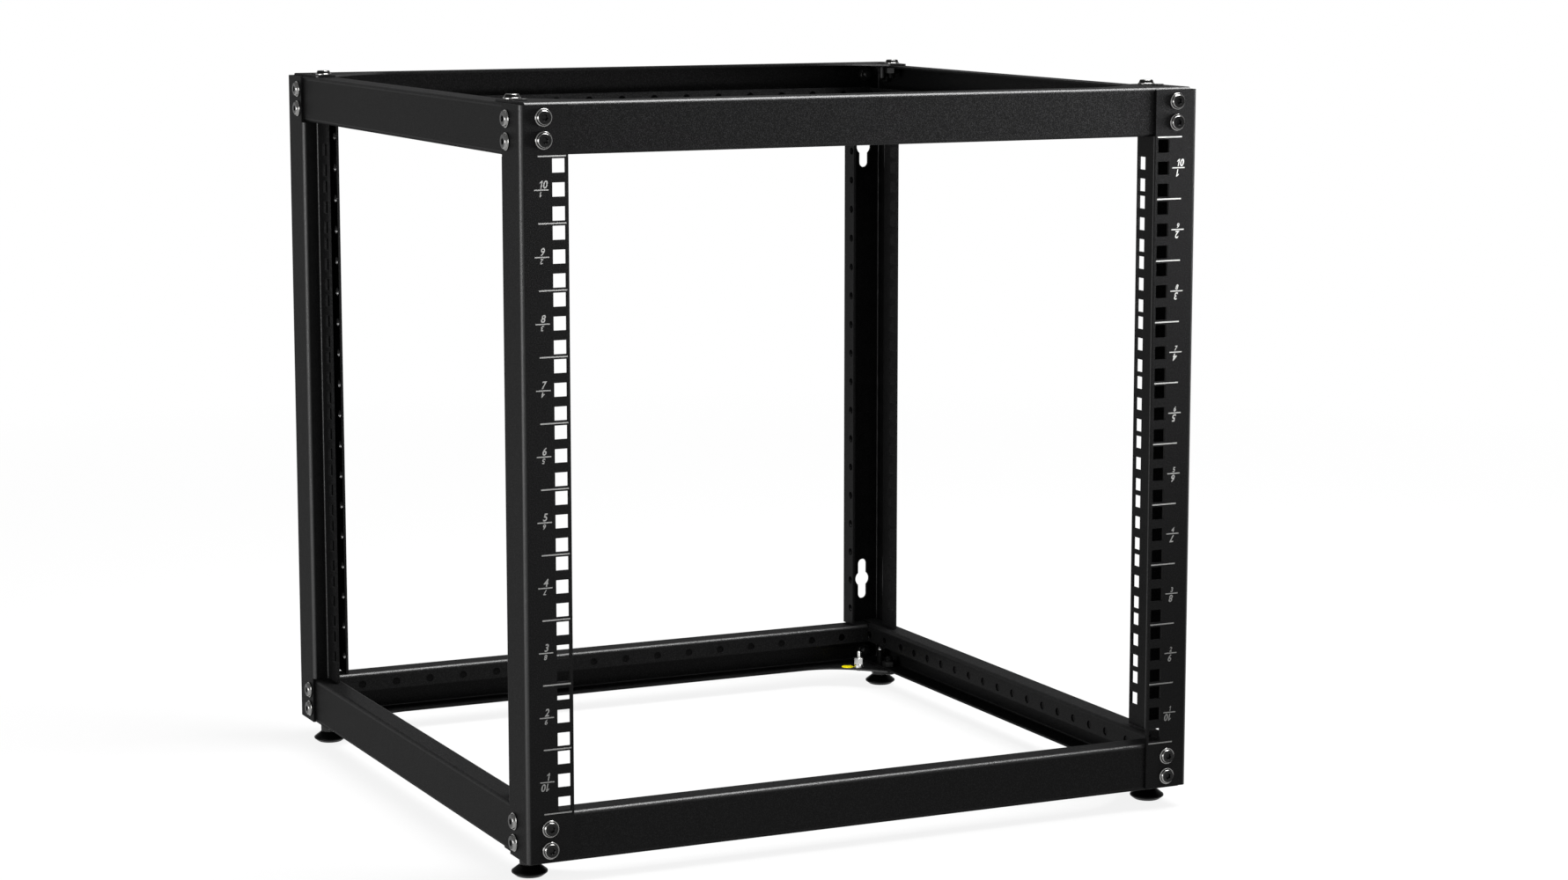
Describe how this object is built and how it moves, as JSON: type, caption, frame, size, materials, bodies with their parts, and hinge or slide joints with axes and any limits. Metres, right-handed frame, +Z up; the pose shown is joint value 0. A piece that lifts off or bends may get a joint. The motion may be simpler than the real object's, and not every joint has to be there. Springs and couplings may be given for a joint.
{
  "type": "open-frame rack",
  "caption": "Free-standing open-frame equipment rack: folded posts with square mounting holes and keyholes, channel rails with holed lips, and levelling feet.",
  "frame": {"origin": "on the floor, under the middle of the rack", "axes": "+Z up, the front faces -Y, +X to the right seen from the front"},
  "size_m": [0.52, 0.5024, 0.5299],
  "materials": {
    "powder_coat": "fine-textured black powder coat",
    "foot_plastic": "satin black moulded plastic",
    "black_steel": "blackened steel",
    "zinc": "bright zinc plate"
  },
  "bodies": {
    "root": {"front_left_post": "powder_coat", "front_right_post": "powder_coat", "rear_left_post": "powder_coat", "rear_right_post": "powder_coat", "top_front_rail": "powder_coat", "top_rear_rail": "powder_coat", "bottom_front_rail": "powder_coat", "bottom_rear_rail": "powder_coat", "top_left_rail": "powder_coat", "top_right_rail": "powder_coat", "bottom_left_rail": "powder_coat", "bottom_right_rail": "powder_coat", "front_left_foot_pad": "foot_plastic", "front_right_foot_pad": "foot_plastic", "rear_left_foot_pad": "foot_plastic", "rear_right_foot_pad": "foot_plastic", "front_left_foot_stud": "black_steel", "front_right_foot_stud": "black_steel", "rear_left_foot_stud": "black_steel", "rear_right_foot_stud": "black_steel", "front_left_lock_nut": "black_steel", "front_right_lock_nut": "black_steel", "rear_left_lock_nut": "black_steel", "rear_right_lock_nut": "black_steel", "earth_stud": "zinc", "earth_washer": "zinc", "earth_spring_washer": "zinc", "earth_nut": "zinc"}
  },
  "joints": []
}
